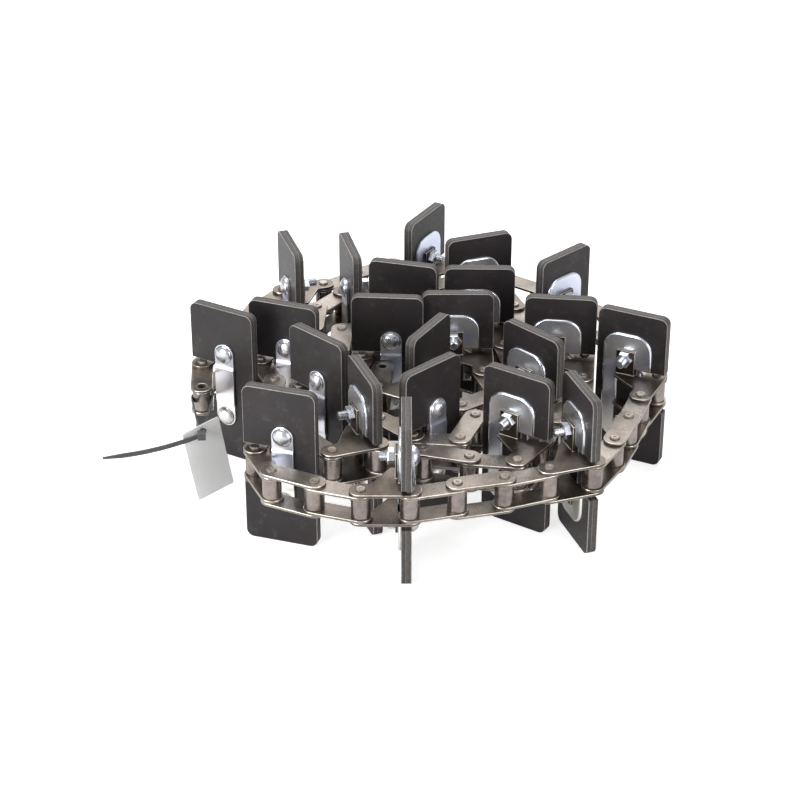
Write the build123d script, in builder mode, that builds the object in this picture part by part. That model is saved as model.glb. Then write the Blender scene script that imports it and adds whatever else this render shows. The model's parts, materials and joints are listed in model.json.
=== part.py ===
"""Paddle conveyor chain: a roller chain with a rubber paddle on every fourth link, lying on its side in a coil.

Millimetres, +Z up. The origin is the open bore at the chain's free outer end, halfway up the links, so the
pins stand along Z. Link n runs from joint n to joint n + 1: even links are inner ones (plates, bushes,
rollers), odd links are outer ones (plates, pins), and every other outer link carries a paddle.
"""
import os
from math import cos, radians, sin

from build123d import *

# Chain
pitch = 41.4
inner_width = 20.0
roller_diameter = 16.7
bush_diameter = 10.6
pin_diameter = 7.2
plate_height = 20.0
plate_thickness = 2.6
plate_gap = 0.25
bore_clearance = 0.05
roller_end_gap = 0.3
rivet_height = 1.6
rivet_chamfer = 0.8

# Paddle: a rubber plate that stands across the chain and reaches inward from the joint line
paddle_height = 152.0
paddle_width = 66.5
paddle_thickness = 9.0
paddle_corner = 7.0
paddle_overhang = 10.0
paddle_offset = 3.0
slot_height = 39.0
slot_reach = 17.0

# Backing plate behind the paddle, and the strap in front of it
backing_height = 110.0
backing_width = 47.0
backing_thickness = 2.5
backing_corner = 16.0
backing_inset = 13.0
backing_spine = 15.0
backing_slot_height = 40.0
strap_width = 20.0
strap_thickness = 2.5

# Bolts that clamp paddle, strap and backing plate to the two tabs of the attachment plates
bolt_diameter = 8.0
bolt_spacing = 64.0
bolt_inset = 27.0
bolt_hole_clearance = 0.25
cup_diameter = 18.0
cup_height = 4.6
nut_across_flats = 13.0
nut_height = 6.4
bolt_end = 8.0

# Attachment plates: outer plates that widen inward and end in an upright tab
tab_width = 18.0
tab_length = 26.5
flare_reach = 36.0
flare_shoulder = 4.0
flare_foot = 33.0

# Bare hang card, and the cable tie that holds it on the roller at the free end
tie_width = 4.5
tie_thickness = 1.4
tie_clearance = 0.35
tie_heading = -86
tie_reach = 64.0
tie_end_radius = 0.8
tie_head_start = 63.0
tie_head_length = 8.0
tie_head_width = 7.0
tie_head_height = 6.0
tail_heading = 205
tail_length = 92.0
card_width = 38.0
card_height = 72.0
card_thickness = 0.8
card_corner = 2.0
card_heading = 35
card_roll = 9
card_reach = 60.0
card_margin = 8.0
card_hole = 4.7
card_hole_drop = 0.9

# How the chain lies, from the free end inward: the compass heading of each link in degrees.
# One row per paddle: its attachment link, then the inner, outer and inner links that follow it.
first_heading = 93
coil_headings = [
    (60, 73, 73, 57),
    (17, 35, 34, 11),
    (-30, -31, -37, -38),
    (-46, -72, -73, -75),
    (-116, -110, -112, -120),
    (-161, -159, -166, -165),
    (180, 161, 154, 113),
    (72, 95, 87, 111),
    (70, 38, 87, 54),
    (13, -3, 32, -30),
    (-70, -77, -34, -66),
    (-96, -96, -127, -110),
    (-124, 172, 164, 163),
    (-160, 128, 103, 87),
    (46, 82, 88, 31),
    (75, -10, -17, -49),
    (-91, -79, -30, -95),
    (-136, -176, -110, 174),
    (134, 122, 95, 79),
    (86, 11, -9, -49),
    (-90, -73, -144, 160),
    (150, 85),
]
links_per_paddle = 4
# Links before this one swing freely, the rest lie in the coil
first_coil_link = 9

# Heights and places worked out from the sizes above
inner_plate_z = inner_width / 2
outer_plate_z = inner_plate_z + plate_thickness + plate_gap
outer_face_z = outer_plate_z + plate_thickness
bush_length = inner_width + 2 * plate_thickness
bush_bore = pin_diameter / 2 + bore_clearance
paddle_front = paddle_offset - paddle_thickness / 2
paddle_back = paddle_offset + paddle_thickness / 2
strap_face = paddle_front - strap_thickness
backing_face = paddle_back + backing_thickness
tab_face = backing_face + plate_thickness
bolt_radius = bolt_diameter / 2
cup_radius = ((cup_diameter / 2) ** 2 + cup_height**2) / (2 * cup_height)
bolt_hole = bolt_radius + bolt_hole_clearance

headings = [first_heading] + [angle for row in coil_headings for angle in row]
joints = [Vector(0, 0, 0)]
for heading in headings:
    step = Vector(cos(radians(heading)), sin(radians(heading)), 0) * pitch
    joints.append(joints[-1] + step)

link_count = len(headings)
attachment_links = range(1, link_count, links_per_paddle)
plain_outer_links = [n for n in range(1, link_count, 2) if n not in attachment_links]
inner_links = range(0, link_count, 2)


def along(n):
    """Unit vector along link n."""
    return Vector(cos(radians(headings[n])), sin(radians(headings[n])), 0)


def outward(n):
    """Unit vector across link n, away from the coil's middle."""
    return Vector(-sin(radians(headings[n])), cos(radians(headings[n])), 0)


def link_plane(n, z):
    """Plane level with z at the first joint of link n, X along the link and Y outward."""
    return Plane(joints[n] + Vector(0, 0, z), x_dir=along(n), z_dir=(0, 0, 1))


def paddle_plane(n, s):
    """Upright plane across link n at distance s along it, X outward from the joint line and Y up."""
    return Plane(joints[n] + along(n) * s, x_dir=outward(n), z_dir=along(n))


def write(part, name):
    """Label one sub-part and write its STEP file."""
    part.label = name
    export_step(part, f"parts/{name}.step")


def bore_plate(bore, ends):
    """Cut a bore of the given radius at each of the given distances along the link."""
    for x in ends:
        with Locations((x, 0)):
            Circle(bore, mode=Mode.SUBTRACT)


def plate_outline(bore, ends):
    """Straight link plate from joint to joint."""
    with Locations((pitch / 2, 0)):
        SlotCenterToCenter(pitch, plate_height)
    bore_plate(bore, ends)


def attachment_outline(bore, ends):
    """Outer plate whose inner edge flares out to a shoulder behind the paddle."""
    with Locations((pitch / 2, 0)):
        SlotCenterToCenter(pitch, plate_height)
    with BuildLine(mode=Mode.PRIVATE) as flare:
        Polyline(
            (backing_face, 0),
            (backing_face, -flare_reach),
            (tab_face + flare_shoulder, -flare_reach),
            (flare_foot, -plate_height / 2),
            (flare_foot, 0),
            close=True,
        )
    make_face(flare.edges())
    bore_plate(bore, ends)


def paddle_outline(bolted):
    """Rounded rubber plate with a slot in its outer edge for the chain."""
    with Locations((paddle_overhang - paddle_width / 2, 0)):
        RectangleRounded(paddle_width, paddle_height, paddle_corner)
    with Locations((paddle_overhang, 0)):
        Rectangle(2 * (paddle_overhang + slot_reach), slot_height, mode=Mode.SUBTRACT)
    if bolted:
        bolt_holes()


def backing_outline(bolted):
    """C-shaped plate: a spine on the inner side and two lobes above and below the chain."""
    outer_edge = paddle_overhang - backing_inset
    with Locations((outer_edge - backing_width / 2, 0)):
        RectangleRounded(backing_width, backing_height, backing_corner)
    with Locations((outer_edge, 0)):
        Rectangle(2 * (backing_width - backing_spine), backing_slot_height, mode=Mode.SUBTRACT)
    if bolted:
        bolt_holes()


def strap_outline(bolted):
    """Upright strap with round ends on the bolt axes."""
    with Locations((-bolt_inset, 0)):
        SlotCenterToCenter(bolt_spacing, strap_width, rotation=90)
    if bolted:
        bolt_holes()


def bolt_holes():
    """The two bolt holes of a paddle."""
    with Locations((-bolt_inset, bolt_spacing / 2), (-bolt_inset, -bolt_spacing / 2)):
        Circle(bolt_hole, mode=Mode.SUBTRACT)


def link_plates(links, z, bore, ends):
    """A plate above and a plate below the chain's middle on each of the given links."""
    with BuildPart() as plates:
        for n in links:
            with BuildSketch(link_plane(n, z)):
                plate_outline(bore, ends)
            extrude(amount=plate_thickness)
        mirror(about=Plane.XY)
    return plates.part


def attachment_plates(links, ends, bolted):
    """The upper and lower attachment plates of the given links, each with its tab bent away from the chain."""
    with BuildPart() as plates:
        for n in links:
            with BuildSketch(link_plane(n, outer_plate_z)):
                attachment_outline(pin_diameter / 2, ends)
            extrude(amount=plate_thickness)
            with BuildSketch(paddle_plane(n, backing_face)):
                with Locations((-bolt_inset, outer_plate_z + tab_length / 2)):
                    Rectangle(tab_width, tab_length)
                if bolted:
                    bolt_holes()
            extrude(amount=plate_thickness)
        mirror(about=Plane.XY)
    return plates.part


def upright_plates(links, s, thickness, outline, bolted):
    """One plate across each of the given links, from distance s along the link."""
    with BuildPart() as plates:
        for n in links:
            with BuildSketch(paddle_plane(n, s)):
                outline(bolted)
            extrude(amount=thickness)
    return plates.part


def bushes(ends):
    """Bushes at the given joints, as long as the inner link is wide."""
    with BuildPart() as tubes:
        with BuildSketch(Plane.XY.offset(-bush_length / 2)):
            with Locations(*[joints[j] for j in ends]):
                Circle(bush_diameter / 2)
                Circle(bush_bore, mode=Mode.SUBTRACT)
        extrude(amount=bush_length)
    return tubes.part


def rollers(ends, bore):
    """Rollers at the given joints; those in the coil are solid and fill the space between the plates."""
    length = inner_width - 2 * roller_end_gap if bore else inner_width
    with BuildPart() as wheels:
        with BuildSketch(Plane.XY.offset(-length / 2)):
            with Locations(*[joints[j] for j in ends]):
                Circle(roller_diameter / 2)
                if bore:
                    Circle(bore, mode=Mode.SUBTRACT)
        extrude(amount=length)
    return wheels.part


def pins(ends):
    """Riveted pins at the given joints."""
    length = 2 * (outer_face_z + rivet_height)
    with BuildPart() as rods:
        with BuildSketch(Plane.XY.offset(-length / 2)):
            with Locations(*[joints[j] for j in ends]):
                Circle(pin_diameter / 2)
        extrude(amount=length)
        rims = rods.edges().filter_by(GeomType.CIRCLE)
        chamfer(rims, rivet_chamfer)
    return rods.part


def cup_bolts(links):
    """Cup-head bolts, heads on the strap and ends past the nuts."""
    with BuildPart() as bolts:
        for n in links:
            for z in (bolt_spacing / 2, -bolt_spacing / 2):
                centre = joints[n] - outward(n) * bolt_inset + Vector(0, 0, z)
                profile = Plane(centre + along(n) * strap_face, x_dir=outward(n), z_dir=(0, 0, 1))
                with BuildSketch(profile):
                    with BuildLine():
                        Polyline((0, cup_height), (0, 0), (cup_diameter / 2, 0))
                        RadiusArc((cup_diameter / 2, 0), (0, cup_height), -cup_radius)
                    make_face()
                revolve(axis=Axis(profile.origin, along(n)))
                with BuildSketch(paddle_plane(n, strap_face)):
                    with Locations((-bolt_inset, z)):
                        Circle(bolt_radius)
                extrude(amount=tab_face + nut_height + bolt_end - strap_face)
    return bolts.part


def hex_nuts(links):
    """Nuts tight against the tabs."""
    with BuildPart() as nuts:
        for n in links:
            with BuildSketch(paddle_plane(n, tab_face)):
                with Locations((-bolt_inset, bolt_spacing / 2), (-bolt_inset, -bolt_spacing / 2)):
                    RegularPolygon(nut_across_flats / 2, 6, major_radius=False)
                    Circle(bolt_radius, mode=Mode.SUBTRACT)
            extrude(amount=nut_height)
    return nuts.part


def paddle_set(links, bolted, suffix):
    """The paddles of the given links with their backing plates and straps, one node of each kind."""
    write(upright_plates(links, paddle_front, paddle_thickness, paddle_outline, bolted), f"paddle{suffix}")
    write(upright_plates(links, paddle_back, backing_thickness, backing_outline, bolted), f"backing_plate{suffix}")
    write(upright_plates(links, strap_face, strap_thickness, strap_outline, bolted), f"clamp_strap{suffix}")


def tie_outline(growth):
    """Racetrack round the end roller that narrows to the tie's head."""
    with BuildLine(mode=Mode.PRIVATE) as route:
        CenterArc((0, 0), roller_diameter / 2 + tie_clearance + growth, 0, 360)
        CenterArc((tie_reach, 0), tie_end_radius + growth, 0, 360)
    return route.edges()


def cable_tie():
    """Cable tie: the loop round the end roller, its head beyond the card and the loose tail."""
    toward = Vector(cos(radians(tie_heading)), sin(radians(tie_heading)), 0)
    tail = Vector(cos(radians(tail_heading)), sin(radians(tail_heading)), 0)
    head_middle = toward * (tie_head_start + tie_head_length / 2)
    with BuildPart() as tie:
        with BuildSketch(Plane((0, 0, -tie_width / 2), x_dir=toward, z_dir=(0, 0, 1))):
            make_hull(tie_outline(tie_thickness))
            make_hull(tie_outline(0), mode=Mode.SUBTRACT)
        extrude(amount=tie_width)
        with BuildSketch(Plane(head_middle - Vector(0, 0, tie_head_height / 2), x_dir=toward, z_dir=(0, 0, 1))):
            Rectangle(tie_head_length, tie_head_width)
        extrude(amount=tie_head_height)
        with BuildSketch(Plane(head_middle - Vector(0, 0, tie_width / 2), x_dir=tail, z_dir=(0, 0, 1))):
            Rectangle(tail_length, tie_thickness, align=(Align.MIN, Align.CENTER))
        extrude(amount=tie_width)
    return tie.part


def hang_card():
    """Bare card that hangs from the tie, turned a little in its own plane."""
    toward = Vector(cos(radians(tie_heading)), sin(radians(tie_heading)), 0)
    level = Vector(cos(radians(card_heading)), sin(radians(card_heading)), 0)
    top_edge = level * cos(radians(card_roll)) + Vector(0, 0, sin(radians(card_roll)))
    hole = toward * card_reach - Vector(0, 0, card_hole_drop)
    with BuildPart() as card:
        with BuildSketch(Plane(hole, x_dir=top_edge, z_dir=(level.Y, -level.X, 0))):
            with Locations((0, card_margin - card_height / 2)):
                RectangleRounded(card_width, card_height, card_corner)
            Circle(card_hole, mode=Mode.SUBTRACT)
        extrude(amount=card_thickness / 2, both=True)
    return card.part


def flight(links):
    """A bolted paddle set with its bolts and nuts, in nodes of its own."""
    suffix = f"_{links[0]}"
    paddle_set(links, True, suffix)
    write(cup_bolts(links), "cup_bolts" + suffix)
    write(hex_nuts(links), "hex_nuts" + suffix)


os.makedirs("parts", exist_ok=True)

# Free end: every link, roller and paddle is a body of its own
both_ends = (0, pitch)
for n in range(first_coil_link):
    if n in inner_links:
        write(link_plates([n], inner_plate_z, bush_diameter / 2, both_ends), f"inner_plates_{n}")
        write(bushes([n, n + 1]), f"bushes_{n}")
        for j in (n, n + 1):
            write(rollers([j], bush_diameter / 2 + bore_clearance), f"roller_{j}")
    elif n in attachment_links:
        write(attachment_plates([n], both_ends, True), f"attachment_plates_{n}")
        write(pins([n, n + 1]), f"pins_{n}")
        flight([n])
    else:
        write(link_plates([n], outer_plate_z, pin_diameter / 2, both_ends), f"outer_plates_{n}")
        write(pins([n, n + 1]), f"pins_{n}")
write(cable_tie(), "cable_tie")
write(hang_card(), "hang_card")

# Coil: the links lie still, so each kind of piece is one group, and plates and rollers meet face to face
last_link = link_count - 1
coil_inner = [n for n in inner_links if first_coil_link < n < last_link]
coil_outer = [n for n in plain_outer_links if n > first_coil_link]
coil_attachments = [n for n in attachment_links if n > first_coil_link]

write(attachment_plates([first_coil_link], (0,), True), "first_coil_plates")
write(pins([first_coil_link]), "first_coil_pin")
flight([first_coil_link])
write(link_plates(coil_inner, inner_plate_z, 0, ()), "coil_inner_plates")
write(rollers(range(first_coil_link + 1, link_count), 0), "coil_rollers")
write(link_plates(coil_outer, outer_plate_z, 0, ()), "coil_outer_plates")
write(attachment_plates(coil_attachments, (), False), "coil_attachment_plates")
paddle_set(coil_attachments, False, "_coil")

# Inner end: an open bush, like the one at the free end
write(link_plates([last_link], inner_plate_z, bush_diameter / 2, (pitch,)), "end_plates")
write(bushes([link_count]), "end_bush")
write(rollers([link_count], bush_diameter / 2 + bore_clearance), "end_roller")
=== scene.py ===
"""A paddle conveyor chain laid on its side in a loose coil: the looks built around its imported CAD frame."""
import json
import math

import bmesh
import bpy
from mathutils import Matrix, Vector


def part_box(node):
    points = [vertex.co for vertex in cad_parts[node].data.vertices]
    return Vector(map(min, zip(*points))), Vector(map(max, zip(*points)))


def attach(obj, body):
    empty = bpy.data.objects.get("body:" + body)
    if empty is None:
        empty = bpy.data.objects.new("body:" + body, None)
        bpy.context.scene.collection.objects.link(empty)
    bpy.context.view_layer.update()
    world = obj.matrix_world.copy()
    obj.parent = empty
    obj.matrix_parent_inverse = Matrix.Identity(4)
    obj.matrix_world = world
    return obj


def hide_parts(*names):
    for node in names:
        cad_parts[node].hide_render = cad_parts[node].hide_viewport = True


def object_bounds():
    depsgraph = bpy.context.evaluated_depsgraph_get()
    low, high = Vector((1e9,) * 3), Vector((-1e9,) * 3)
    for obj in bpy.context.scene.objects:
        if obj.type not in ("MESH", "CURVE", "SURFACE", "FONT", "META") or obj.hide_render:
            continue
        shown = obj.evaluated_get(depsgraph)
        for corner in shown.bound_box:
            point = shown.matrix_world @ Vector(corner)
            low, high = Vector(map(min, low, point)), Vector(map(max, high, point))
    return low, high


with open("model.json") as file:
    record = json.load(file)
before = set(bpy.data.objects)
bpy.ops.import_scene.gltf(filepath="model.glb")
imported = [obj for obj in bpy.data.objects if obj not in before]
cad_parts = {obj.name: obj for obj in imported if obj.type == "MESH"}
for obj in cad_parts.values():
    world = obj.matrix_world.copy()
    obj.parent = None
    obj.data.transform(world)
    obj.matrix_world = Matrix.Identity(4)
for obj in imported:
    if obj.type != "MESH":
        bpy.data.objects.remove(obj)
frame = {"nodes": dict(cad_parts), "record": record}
cad_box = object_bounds()

# ---------------------------------------------------------------------------------------------------------------
# Studio. The chain lies on a white table under a broad soft lamp, and the camera looks down on it from the front.
# The lamps are large, so that the plated parts and the oiled steel show long soft highlights.
# ---------------------------------------------------------------------------------------------------------------
table_z = cad_box[0][2]
table_gap = 0.0002
table_half_width = 2.2
table_glow = 0.7
mirrored_glow = 0.17
sky_light = 0.22
mirrored_sky = 0.5
look_at = Vector((0.1803, -0.0031, 0.0))
camera_tilt = math.radians(29.58)
camera_distance = 2.0613
camera = bpy.data.objects.new("camera", bpy.data.cameras.new("camera"))
camera.data.lens = 101.9
camera.data.sensor_width = 36.0
toward_camera = Vector((0, -math.cos(camera_tilt), math.sin(camera_tilt)))
camera.location = look_at + toward_camera * camera_distance
camera.rotation_euler = toward_camera.to_track_quat("Z", "Y").to_euler()
bpy.context.collection.objects.link(camera)
bpy.context.scene.camera = camera
bpy.context.scene.view_settings.view_transform = "Standard"


def connect(tree, node, **sockets):
    """Links or sets input sockets of a node: _0 stands for the first one, Base_Color for "Base Color"."""
    for key, value in sockets.items():
        socket = node.inputs[int(key[1:])] if key[1:].isdigit() else node.inputs[key.replace("_", " ")]
        if isinstance(value, bpy.types.NodeSocket):
            tree.links.new(value, socket)
        else:
            socket.default_value = value


def add_node(tree, kind, **sockets):
    """A node with some of its input sockets set or linked."""
    node = tree.nodes.new(kind)
    connect(tree, node, **sockets)
    return node


def new_material(name):
    """A node material with its tree and its shader."""
    material = bpy.data.materials.new(name)
    material.use_nodes = True
    return material, material.node_tree, material.node_tree.nodes["Principled BSDF"]


def add_lamp(name, place, size, watts):
    """A square lamp that points at the middle of the chain."""
    lamp = bpy.data.objects.new(name, bpy.data.lights.new(name, "AREA"))
    lamp.data.size = size
    lamp.data.energy = watts
    lamp.location = Vector(place)
    lamp.rotation_euler = (Vector(place) - look_at).to_track_quat("Z", "Y").to_euler()
    bpy.context.collection.objects.link(lamp)


add_lamp("lamp_over", (-0.2, 0.5, 2.4), 1.8, 40)
add_lamp("lamp_back", (0.6, 2.3, 1.5), 1.8, 24)
add_lamp("lamp_left", (-2.0, -2.0, 0.8), 1.7, 80)
add_lamp("lamp_right", (2.1, -2.1, 0.9), 1.4, 32)

table_mesh = bmesh.new()
bmesh.ops.create_grid(table_mesh, x_segments=1, y_segments=1, size=table_half_width)
bmesh.ops.translate(table_mesh, verts=table_mesh.verts, vec=(0, 0, table_z - table_gap))
table = bpy.data.objects.new("table", bpy.data.meshes.new("table"))
table_mesh.to_mesh(table.data)
table_mesh.free()
bpy.context.collection.objects.link(table)
table_white, tree, shader = new_material("table_white")
ray = add_node(tree, "ShaderNodeLightPath")
mirrored = add_node(tree, "ShaderNodeMath", _0=ray.outputs["Is Glossy Ray"], _1=mirrored_glow)
mirrored.operation = "MULTIPLY"
glow = add_node(tree, "ShaderNodeMath", _0=ray.outputs["Is Camera Ray"], _1=table_glow, _2=mirrored.outputs[0])
glow.operation = "MULTIPLY_ADD"
connect(
    tree, shader, Base_Color=(0.86, 0.86, 0.86, 1), Roughness=0.9, Specular_IOR_Level=0.0,
    Emission_Color=(1, 1, 1, 1), Emission_Strength=glow.outputs[0],
)
table.data.materials.append(table_white)

world = bpy.data.worlds.new("world")
bpy.context.scene.world = world
world.use_nodes = True
tree = world.node_tree
ray = add_node(tree, "ShaderNodeLightPath")
shine = add_node(tree, "ShaderNodeMath", _0=ray.outputs["Is Glossy Ray"], _1=mirrored_sky)
shine.operation = "MULTIPLY"
seen = add_node(tree, "ShaderNodeMath", _0=ray.outputs["Is Camera Ray"], _1=shine.outputs[0])
strength = add_node(tree, "ShaderNodeMapRange", Value=seen.outputs[0], To_Min=sky_light, To_Max=1.0)
connect(tree, tree.nodes["Background"], Color=(1, 1, 1, 1), Strength=strength.outputs[0])

# ---------------------------------------------------------------------------------------------------------------
# Link plates. Blanked from mild steel strip, straight ones between the flights and flared ones with a bent tab
# under each flight. All are riveted or pressed together and oiled dark brown-grey, with a painted highlight in
# pale steel on the arrises; the flared plates and, darker still, the bent tabs are painted with shade.
# ---------------------------------------------------------------------------------------------------------------
merge_distance = 0.000002
flat_limit = math.radians(1)
smooth_limit = math.radians(38)
plate_arris = 0.00045


def shells(mesh):
    """The vertices of each separate solid in a bmesh, in the mesh's own order."""
    mesh.verts.ensure_lookup_table()
    found = []
    seen_verts = set()
    for start in mesh.verts:
        if start in seen_verts:
            continue
        shell = [start]
        seen_verts.add(start)
        for vert in shell:
            for edge in vert.link_edges:
                other = edge.other_vert(vert)
                if other not in seen_verts:
                    seen_verts.add(other)
                    shell.append(other)
        found.append(shell)
    return found


def cad_copy(node):
    """A merged copy of a CAD node's mesh with its flat faces whole."""
    mesh = bmesh.new()
    mesh.from_mesh(frame["nodes"][node].data)
    bmesh.ops.remove_doubles(mesh, verts=mesh.verts, dist=merge_distance)
    bmesh.ops.dissolve_limit(mesh, angle_limit=flat_limit, verts=mesh.verts, edges=mesh.edges)
    return mesh


def soften(mesh, width, edge_slot, sharp=35):
    """Rounds every edge sharper than so many degrees; the rounding takes the given material slot."""
    edges = [e for e in mesh.edges if len(e.link_faces) == 2 and e.calc_face_angle() > math.radians(sharp)]
    bmesh.ops.bevel(
        mesh, geom=edges, affect="EDGES", offset=width, offset_type="OFFSET", segments=2, profile=0.5,
        material=edge_slot, clamp_overlap=True,
    )


def runs_on(edge):
    """Whether the surface runs on smoothly over an edge: a gentle bend within one material slot."""
    if len(edge.link_faces) != 2:
        return False
    one, other = edge.link_faces
    return one.material_index == other.material_index and edge.calc_face_angle() < smooth_limit


def piece(name, mesh, body, materials, slot, *nodes):
    """Makes a finished mesh a piece that rides on a body and stands for the given CAD nodes."""
    for face in mesh.faces:
        face.smooth = True
    for edge in mesh.edges:
        edge.smooth = runs_on(edge)
    data = bpy.data.meshes.new(name)
    mesh.to_mesh(data)
    mesh.free()
    for material in materials:
        data.materials.append(material)
    made = bpy.data.objects.new(name, data)
    bpy.context.collection.objects.link(made)
    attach(made, body)
    if nodes:
        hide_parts(*nodes)


def noise(tree, place, scale, detail, rough=0.5):
    """The value of a noise texture."""
    node = add_node(tree, "ShaderNodeTexNoise", Vector=place, Scale=scale, Detail=detail, Roughness=rough)
    return node.outputs["Fac"]


def spread(tree, value, low, high, to_low=0.0, to_high=1.0):
    """A value carried from the range low to high over to another range, and held inside it."""
    node = add_node(
        tree, "ShaderNodeMapRange", Value=value, From_Min=low, From_Max=high, To_Min=to_low, To_Max=to_high,
    )
    return node.outputs[0]


def mixed(tree, factor, first, second, how="MIX"):
    """A colour between two others, each of them plain or another node's output."""
    mix = add_node(tree, "ShaderNodeMix", Factor=factor)
    mix.data_type = "RGBA"
    mix.blend_type = how
    connect(tree, mix, _6=first, _7=second)
    return mix.outputs[2]


def bump(tree, height, strength, distance):
    """Fine relief from a height."""
    return add_node(tree, "ShaderNodeBump", Height=height, Strength=strength, Distance=distance).outputs[0]


def steel(name, dark, light, rough, grain):
    """Oiled steel: a mottled, stained film of oil over fine rolling marks."""
    material, tree, shader = new_material(name)
    place = add_node(tree, "ShaderNodeTexCoord").outputs["Object"]
    film = noise(tree, place, 45.0, 6.0, 0.62)
    marks = noise(tree, place, grain, 3.0, 0.6)
    stain = noise(tree, place, 17.0, 3.0, 0.55)
    both = add_node(tree, "ShaderNodeMath", _0=film, _1=marks)
    all_three = add_node(tree, "ShaderNodeMath", _0=both.outputs[0], _1=stain)
    shade = spread(tree, all_three.outputs[0], 1.16, 1.84)
    connect(
        tree, shader, Base_Color=mixed(tree, shade, dark, light),
        Roughness=spread(tree, film, 0.3, 0.7, rough - 0.08, rough + 0.1),
        Normal=bump(tree, marks, 0.12, 0.0003), Metallic=0.92,
    )
    return material


plate_steel = steel("plate_steel", (0.11, 0.092, 0.076, 1), (0.41, 0.363, 0.32, 1), 0.34, 900.0)
# A pale copy of the steel for the arrises of the plates and rollers: a painted highlight.
painted_highlight_steel = steel("painted_highlight_steel", (0.34, 0.305, 0.268, 1), (0.76, 0.71, 0.65, 1), 0.3, 700.0)
# The flared and first-coil plates get a darker copy of the plate steel: painted shade.
flare_steel_painted_shade = steel("flare_steel_painted_shade", (0.062, 0.048, 0.038, 1), (0.25, 0.21, 0.176, 1), 0.36, 900.0)
# The bent tabs get a darker copy of the steel still: painted shade.
bent_steel_painted_shade = steel("bent_steel_painted_shade", (0.035, 0.027, 0.021, 1), (0.13, 0.105, 0.084, 1), 0.42, 900.0)
body_of = {node: body for body, nodes in frame["record"]["behaviour"]["bodies"].items() for node in nodes}
plate_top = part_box("coil_outer_plates")[1][2]
tab_foot = plate_top + plate_arris
for node in sorted(frame["nodes"]):
    if "plates" not in node:
        continue
    mesh = cad_copy(node)
    # Faces above the plate tops, on the bent tabs, take slot 2, the painted shade.
    for face in mesh.faces:
        if abs(face.calc_center_median().z) > tab_foot:
            face.material_index = 2
    soften(mesh, plate_arris, 1)
    # The flared and first-coil plates take the darker steel, which is painted shade.
    face_steel = flare_steel_painted_shade if "attachment" in node or "first_coil" in node else plate_steel
    piece("steel_" + node, mesh, body_of[node], (face_steel, painted_highlight_steel, bent_steel_painted_shade), "link_steel", node)

# ---------------------------------------------------------------------------------------------------------------
# Rollers. Curled from strip and hardened, so each is a plain thick tube with broken edges, free on its bush.
# The barrels are a greyer, smoother steel than the plates, polished where they run on the sprockets.
# ---------------------------------------------------------------------------------------------------------------
roller_arris = 0.0009
roller_steel = steel("roller_steel", (0.2, 0.168, 0.155, 1), (0.4, 0.345, 0.32, 1), 0.24, 160.0)
for node in sorted(frame["nodes"]):
    if "roller" not in node:
        continue
    mesh = cad_copy(node)
    soften(mesh, roller_arris, 1)
    # The roller edges take the pale arris steel, a painted highlight.
    piece("barrel_" + node, mesh, body_of[node], (roller_steel, painted_highlight_steel), "roller_steel", node)

# ---------------------------------------------------------------------------------------------------------------
# Pins. Each is riveted over the outer plates at both ends, which leaves a flat round head with a dimple from the
# punch. Bushes show only as thin rings in the open ends of the chain.
# ---------------------------------------------------------------------------------------------------------------
rivet_steel = steel("rivet_steel", (0.2, 0.172, 0.145, 1), (0.5, 0.445, 0.39, 1), 0.36, 1200.0)
rivet_rings = ((0.0046, 0.0), (0.0046, 0.0007), (0.0037, 0.0016), (0.0016, 0.0015), (0.0009, 0.0009))
rivet_sides = 14
upside_down = Matrix.Rotation(math.pi, 4, "X")


def shell_centre(shell):
    """The middle of the box round one solid."""
    low = Vector([min(v.co[i] for v in shell) for i in range(3)])
    high = Vector([max(v.co[i] for v in shell) for i in range(3)])
    return (low + high) / 2


def centres(node):
    """The middle of each solid of a CAD node."""
    mesh = cad_copy(node)
    found = [shell_centre(shell) for shell in shells(mesh)]
    mesh.free()
    return found


def turned(rings, sides):
    """A small turned solid about Z from (radius, height) rings, closed at both ends."""
    mesh = bmesh.new()
    points = [mesh.verts.new((0, 0, rings[0][1]))]
    points += [mesh.verts.new((radius, 0, height)) for radius, height in rings]
    points.append(mesh.verts.new((0, 0, rings[-1][1])))
    edges = [mesh.edges.new(pair) for pair in zip(points, points[1:])]
    bmesh.ops.spin(
        mesh, geom=points + edges, cent=(0, 0, 0), axis=(0, 0, 1), dvec=(0, 0, 0), angle=math.tau, steps=sides,
        use_merge=True, use_duplicate=False,
    )
    bmesh.ops.remove_doubles(mesh, verts=mesh.verts, dist=merge_distance)
    bmesh.ops.recalc_face_normals(mesh, faces=mesh.faces)
    data = bpy.data.meshes.new("turned")
    mesh.to_mesh(data)
    mesh.free()
    return data


def repeat(data, places):
    """One bmesh with a copy of a small mesh at each of the given placements."""
    mesh = bmesh.new()
    for place in places:
        before = len(mesh.verts)
        mesh.from_mesh(data)
        mesh.verts.ensure_lookup_table()
        bmesh.ops.transform(mesh, matrix=place, verts=mesh.verts[before:])
        mesh.verts.index_update()
    bmesh.ops.recalc_face_normals(mesh, faces=mesh.faces)
    return mesh


def rivet_places(points):
    """A placement above and one below the chain at each point."""
    placed = []
    for point in points:
        placed.append(Matrix.Translation((point.x, point.y, plate_top)))
        placed.append(Matrix.Translation((point.x, point.y, -plate_top)) @ upside_down)
    return placed


rivet = turned(rivet_rings, rivet_sides)
rivets = repeat(rivet, rivet_places(centres("coil_rollers") + centres("first_coil_pin")))
piece("coil_rivets", rivets, "coil", (rivet_steel,), "pin_steel", "first_coil_pin")
for node in sorted(frame["nodes"]):
    if node.startswith("pins_"):
        rivets = repeat(rivet, rivet_places(centres(node)))
        piece("rivets_" + node.rsplit("_", 1)[1], rivets, body_of[node], (rivet_steel,), "pin_steel")
    if node.startswith(("pins_", "bushes_", "end_bush")):
        obj = frame["nodes"][node]
        obj.data.materials.clear()
        obj.data.materials.append(rivet_steel)

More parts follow.
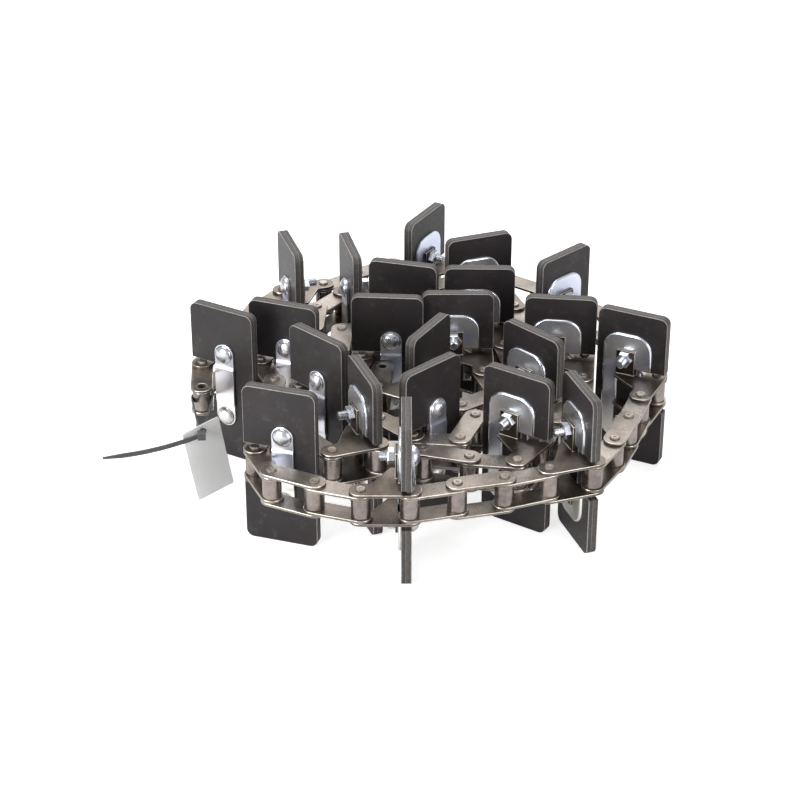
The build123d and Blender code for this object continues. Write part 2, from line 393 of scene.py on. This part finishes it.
# ---------------------------------------------------------------------------------------------------------------
# Paddles. Cut from two-ply rubber sheet with a slot for the chain. The faces are smooth black rubber with a soft
# bloom and a little dust; the knife-cut edges are rough and grey, with the join of the plies as a dark line and a
# painted highlight as a pale line along each arris.
# ---------------------------------------------------------------------------------------------------------------
paddle_arris = 0.0005
facing_travel = 0.9


def flight_places(strap, backing):
    """For each flight, a placement with X along the chain's travel, Y outward and Z up, at the strap's middle."""
    mesh = cad_copy(strap)
    plates = centres(backing)
    placed = []
    for shell in shells(mesh):
        centre = shell_centre(shell)
        faces = {face for vert in shell for face in vert.link_faces}
        widest = max(faces, key=lambda face: face.calc_area())
        travel = Vector((widest.normal.x, widest.normal.y, 0)).normalized()
        nearest = min(plates, key=lambda plate: (plate - centre).length)
        if travel.dot(nearest - centre) < 0:
            travel = -travel
        placed.append(Matrix.Translation(centre) @ Matrix.Rotation(math.atan2(travel.y, travel.x), 4, "Z"))
    mesh.free()
    return placed


def travel_at(places, shell):
    """The direction of travel of the flight that a solid belongs to."""
    middle = sum((v.co for v in shell), Vector()) / len(shell)
    nearest = min(places, key=lambda place: (place.translation - middle).length)
    return nearest.to_3x3() @ Vector((1, 0, 0))


def banded(tree, factor, stops):
    """The colour of a ramp through (position, colour) stops."""
    ramp = add_node(tree, "ShaderNodeValToRGB", Fac=factor)
    while len(ramp.color_ramp.elements) < len(stops):
        ramp.color_ramp.elements.new(0.5)
    for element, (spot, colour) in zip(ramp.color_ramp.elements, stops):
        element.position = spot
        element.color = colour
    return ramp.outputs["Color"]


rubber_face, tree, shader = new_material("rubber_face")
place = add_node(tree, "ShaderNodeTexCoord").outputs["Object"]
bloom = spread(tree, noise(tree, place, 14.0, 4.0, 0.55), 0.35, 0.7)
scuff = noise(tree, place, 260.0, 5.0, 0.7)
dust = spread(tree, noise(tree, place, 75.0, 9.0, 0.78), 0.55, 0.75, 0.0, 0.55)
black = mixed(tree, bloom, (0.0175, 0.0143, 0.0151, 1), (0.037, 0.031, 0.0325, 1))
connect(
    tree, shader, Base_Color=mixed(tree, dust, black, (0.12, 0.108, 0.105, 1)),
    Roughness=spread(tree, scuff, 0.3, 0.7, 0.35, 0.47), Specular_IOR_Level=0.38,
    Normal=bump(tree, scuff, 0.06, 0.0003),
)

rubber_cut, tree, shader = new_material("rubber_cut")
place = add_node(tree, "ShaderNodeTexCoord").outputs["Object"]
ply = add_node(tree, "ShaderNodeAttribute")
ply.attribute_name = "ply"
drift = spread(tree, noise(tree, place, 60.0, 2.0), 0.0, 1.0, -0.06, 0.06)
across = add_node(tree, "ShaderNodeMath", _0=ply.outputs["Fac"], _1=drift)
# The pale stops at 0.03 and 0.97, next to the faces, are painted highlights along the arrises; the middle ones are
# the plies and their join.
plies_and_arris_highlights = banded(tree, across.outputs[0], (
    (0.03, (0.33, 0.3, 0.29, 1)),
    (0.1, (0.05, 0.045, 0.042, 1)),
    (0.44, (0.085, 0.077, 0.071, 1)),
    (0.49, (0.02, 0.018, 0.017, 1)),
    (0.54, (0.2, 0.182, 0.175, 1)),
    (0.62, (0.045, 0.041, 0.038, 1)),
    (0.9, (0.06, 0.055, 0.051, 1)),
    (0.97, (0.28, 0.255, 0.245, 1)),
))
fray = noise(tree, place, 420.0, 4.0, 0.7)
grey = spread(tree, fray, 0.3, 0.65, 0.4, 1.5)
connect(
    tree, shader, Base_Color=mixed(tree, 0.55, plies_and_arris_highlights, grey, "MULTIPLY"), Roughness=0.62,
    Normal=bump(tree, fray, 0.35, 0.0005),
)

flights = {}
for tail in ("1", "5", "9", "coil"):
    flights[tail] = flight_places("clamp_strap_" + tail, "backing_plate_" + tail)
    mesh = cad_copy("paddle_" + tail)
    thickness = mesh.verts.layers.float.new("ply")
    for shell in shells(mesh):
        travel = travel_at(flights[tail], shell)
        reach = [v.co.dot(travel) for v in shell]
        for vert, distance in zip(shell, reach):
            vert[thickness] = (distance - min(reach)) / (max(reach) - min(reach))
        for face in {face for vert in shell for face in vert.link_faces}:
            face.material_index = 0 if abs(face.normal.dot(travel)) > facing_travel else 1
    # The arris rounding takes the cut-edge colour at its pale ends: a painted highlight.
    soften(mesh, paddle_arris, 2)
    materials = (rubber_face, rubber_cut, rubber_cut)
    piece("rubber_paddle_" + tail, mesh, body_of["paddle_" + tail], materials, "paddle_rubber", "paddle_" + tail)

# ---------------------------------------------------------------------------------------------------------------
# Backing plates and straps. Pressed from thin sheet and bright zinc plated with a blue passivation; the colour runs
# with height in the scene, cream low down and white at the top. The bolts clamp them to the rubber, and the strap
# is bowed forward between its bolts.
# ---------------------------------------------------------------------------------------------------------------
fold_radius = 0.0019
fold_segments = 4
fold_slack = 0.0002
fold_limit = math.radians(60)
back_arris = 0.0003
strap_arris = 0.0004
bow_depth = 0.0009
bow_start = 0.021
bow_end = 0.0165
bow_steps = 8


def zinc(name, tints, rough):
    """Bright blue zinc whose colour follows height in the scene, with a cloudy wander: cream low down, blue higher
    up, white at the top.
    """
    material, tree, shader = new_material(name)
    place = add_node(tree, "ShaderNodeTexCoord").outputs["Object"]
    cloud = noise(tree, place, 9.0, 1.0, 0.4)
    height = add_node(tree, "ShaderNodeSeparateXYZ", Vector=place).outputs["Z"]
    level = add_node(tree, "ShaderNodeMath", _0=spread(tree, height, -0.05, 0.055, -0.35, 0.35), _1=cloud)
    streak = noise(tree, place, 30.0, 2.0, 0.5)
    connect(
        tree, shader, Base_Color=banded(tree, level.outputs[0], tints),
        Roughness=spread(tree, streak, 0.3, 0.7, rough - 0.03, rough + 0.04),
        Normal=bump(tree, cloud, 0.15, 0.004), Metallic=1.0,
    )
    return material


def cut_across(mesh, spot, normal):
    """Adds a row of edges where a plane meets the mesh."""
    geometry = list(mesh.verts) + list(mesh.edges) + list(mesh.faces)
    bmesh.ops.bisect_plane(mesh, geom=geometry, dist=0.000001, plane_co=spot, plane_no=normal)


cream = (0.97, 0.93, 0.85, 1)
pale = (0.84, 0.87, 0.96, 1)
blue = (0.64, 0.7, 0.9, 1)
white = (0.93, 0.95, 0.98, 1)
zinc_sheet = zinc("zinc_sheet", ((0.2, cream), (0.48, pale), (0.62, blue), (0.8, white)), 0.32)
zinc_edge = zinc("zinc_edge", ((0.3, (0.94, 0.93, 0.9, 1)), (0.7, (0.78, 0.82, 0.9, 1))), 0.22)
for tail, places in flights.items():
    body = body_of["paddle_" + tail]
    mesh = cad_copy("backing_plate_" + tail)
    folds = []
    for shell in shells(mesh):
        travel = travel_at(places, shell)
        front = max(v.co.dot(travel) for v in shell) - fold_slack
        rim = {e for v in shell for e in v.link_edges if all(end.co.dot(travel) > front for end in e.verts)}
        folds += [e for e in rim if len(e.link_faces) == 2 and e.calc_face_angle() > fold_limit]
    bmesh.ops.bevel(
        mesh, geom=folds, affect="EDGES", offset=fold_radius, offset_type="OFFSET", segments=fold_segments,
        profile=0.5, material=1, clamp_overlap=True,
    )
    soften(mesh, back_arris, 1, 60)
    piece("zinc_backing_" + tail, mesh, body, (zinc_sheet, zinc_edge), "zinc_plate", "backing_plate_" + tail)
    mesh = cad_copy("clamp_strap_" + tail)
    for step in range(-1, bow_steps + 2):
        height = bow_end + (bow_start - bow_end) * step / bow_steps
        cut_across(mesh, (0, 0, height), (0, 0, 1))
        cut_across(mesh, (0, 0, -height), (0, 0, 1))
    for shell in shells(mesh):
        travel = travel_at(places, shell)
        for vert in shell:
            rise = min(1, max(0, (bow_start - abs(vert.co.z)) / (bow_start - bow_end)))
            vert.co -= travel * bow_depth * (1 - math.cos(math.pi * rise)) / 2
    soften(mesh, strap_arris, 1)
    piece("zinc_strap_" + tail, mesh, body, (zinc_sheet, zinc_edge), "zinc_plate", "clamp_strap_" + tail)

# ---------------------------------------------------------------------------------------------------------------
# Bolts and nuts. Cup-head bolts go through strap, rubber, backing plate and tab; a zinc plated hexagon nut pulls
# them tight, and a few turns of thread stand out past it.
# ---------------------------------------------------------------------------------------------------------------
bolt_from_strap_end = 0.010
strap_half_thickness = 0.00125
clamped_stack = 0.0141
nut_height = 0.0064
nut_flats = 0.013
nut_chamfer = 0.0007
thread_radius = 0.004
thread_depth = 0.0005
thread_reach = 0.008
thread_turns = 6
thread_point = 0.0004
thread_bury = 0.0003
cup_rings = ((0.009, 0.0), (0.009, 0.0006), (0.0078, 0.0022), (0.0056, 0.0037), (0.0029, 0.0045), (0.0006, 0.0046))
zinc_bright = zinc("zinc_bright", ((0.3, (0.8, 0.8, 0.78, 1)), (0.7, (0.64, 0.66, 0.71, 1))), 0.26)
strap_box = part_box("clamp_strap_1")
bolt_height = (strap_box[1][2] - strap_box[0][2]) / 2 - bolt_from_strap_end
nut_seat = strap_half_thickness + clamped_stack

screw_rings = []
for turn in range(thread_turns):
    start = turn * thread_reach / thread_turns
    screw_rings.append((thread_radius - thread_depth, start))
    screw_rings.append((thread_radius, start + thread_reach / thread_turns / 2))
screw_rings.append((thread_radius - thread_depth, thread_reach - thread_point))
screw_rings.append((thread_radius - thread_depth - thread_point, thread_reach))
cup_head = turned(cup_rings, 24)
screw_end = turned(screw_rings, 16)

nut_mesh = bmesh.new()
nut_radius = nut_flats / math.sqrt(3)
bmesh.ops.create_cone(nut_mesh, cap_ends=True, segments=6, radius1=nut_radius, radius2=nut_radius, depth=nut_height)
bmesh.ops.translate(nut_mesh, verts=nut_mesh.verts, vec=(0, 0, nut_height / 2))
rims = [e for e in nut_mesh.edges if abs(e.verts[0].co.z - e.verts[1].co.z) < nut_height / 2]
bmesh.ops.bevel(nut_mesh, geom=rims, affect="EDGES", offset=nut_chamfer, segments=2, profile=0.5, material=1)
nut = bpy.data.meshes.new("nut")
nut_mesh.to_mesh(nut)
nut_mesh.free()

forward = Matrix.Rotation(math.pi / 2, 4, "Y")
backward = Matrix.Rotation(-math.pi / 2, 4, "Y")
for tail, places in flights.items():
    body = body_of["paddle_" + tail]
    rows = [place @ Matrix.Translation((0, 0, side * bolt_height)) for place in places for side in (1, -1)]
    at_head = Matrix.Translation((-strap_half_thickness, 0, 0)) @ backward
    at_nut = Matrix.Translation((nut_seat, 0, 0)) @ forward
    at_thread = Matrix.Translation((nut_seat + nut_height - thread_bury, 0, 0)) @ forward
    heads = repeat(cup_head, [row @ at_head for row in rows])
    screws = repeat(screw_end, [row @ at_thread for row in rows])
    nuts = repeat(nut, [row @ at_nut for row in rows])
    bolts_for = () if tail == "coil" else ("cup_bolts_" + tail,)
    nuts_for = () if tail == "coil" else ("hex_nuts_" + tail,)
    piece("cup_heads_" + tail, heads, body, (zinc_bright,), "zinc_bolt", *bolts_for)
    piece("screw_ends_" + tail, screws, body, (zinc_bright,), "zinc_bolt")
    piece("nuts_" + tail, nuts, body, (zinc_bright, zinc_bright), "zinc_bolt", *nuts_for)

# ---------------------------------------------------------------------------------------------------------------
# Hang card and cable tie. A bare coated card hangs by its hole on a dark nylon tie, which is looped round the
# roller at the free end; the card has taken a slight curl and the loose tail of the tie droops and tapers.
# ---------------------------------------------------------------------------------------------------------------
card_white, tree, shader = new_material("card_white")
place = add_node(tree, "ShaderNodeTexCoord").outputs["Object"]
fibre = noise(tree, place, 500.0, 4.0, 0.6)
paper = mixed(tree, spread(tree, fibre, 0.3, 0.7), (0.92, 0.92, 0.925, 1), (0.97, 0.97, 0.965, 1))
connect(tree, shader, Base_Color=paper, Roughness=0.42, Normal=bump(tree, fibre, 0.05, 0.0002))

tie_nylon, tree, shader = new_material("tie_nylon")
place = add_node(tree, "ShaderNodeTexCoord").outputs["Object"]
grain = noise(tree, place, 300.0, 3.0, 0.6)
nylon = mixed(tree, spread(tree, grain, 0.3, 0.7), (0.05, 0.05, 0.053, 1), (0.085, 0.085, 0.09, 1))
connect(tree, shader, Base_Color=nylon, Roughness=spread(tree, grain, 0.0, 1.0, 0.34, 0.56))

card_arris = 0.0002
card_curl = 0.004
card_steps = 12
mesh = cad_copy("hang_card")
low, high = (Vector(corner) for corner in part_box("hang_card"))
for step in range(1, card_steps):
    cut_across(mesh, high.lerp(low, step / card_steps), (0, 0, 1))
card_face = max(mesh.faces, key=lambda face: face.calc_area())
facing = Vector((card_face.normal.x, card_face.normal.y, 0)).normalized()
facing = facing if facing.y < 0 else -facing
for vert in mesh.verts:
    hang = (high.z - vert.co.z) / (high.z - low.z)
    vert.co += facing * card_curl * hang * hang
soften(mesh, card_arris, 1)
piece("white_card", mesh, body_of["hang_card"], (card_white, card_white), "card", "hang_card")

tie_arris = 0.0003
loop_radius = 0.012
head_to_strap = 1.1
tail_steps = 16
tail_droop = 0.0035
taper_start = 0.8
tip_taper = 0.55
mesh = cad_copy("cable_tie")
tie_half_width = max(v.co.z for v in mesh.verts if v.co.length < loop_radius)
head = [v.co for v in mesh.verts if abs(v.co.z) > tie_half_width * head_to_strap]
head_middle = sum(head, Vector()) / len(head)
head_reach = max((spot - head_middle).length for spot in head)
tip = min(mesh.verts, key=lambda vert: vert.co.x).co.copy()
tail = Vector((tip.x - head_middle.x, tip.y - head_middle.y, 0))
for step in range(1, tail_steps):
    along_tail = head_reach / tail.length + (1 - head_reach / tail.length) * step / tail_steps
    cut_across(mesh, head_middle + tail * along_tail, tail)
for vert in mesh.verts:
    along_tail = (vert.co - head_middle).dot(tail) / tail.length_squared
    if along_tail * tail.length > head_reach:
        vert.co.z *= 1 - tip_taper * max(0, along_tail - taper_start) / (1 - taper_start)
        vert.co.z -= tail_droop * math.sin(math.pi * along_tail)
soften(mesh, tie_arris, 1)
piece("nylon_tie", mesh, body_of["cable_tie"], (tie_nylon, tie_nylon), "tie_nylon", "cable_tie")
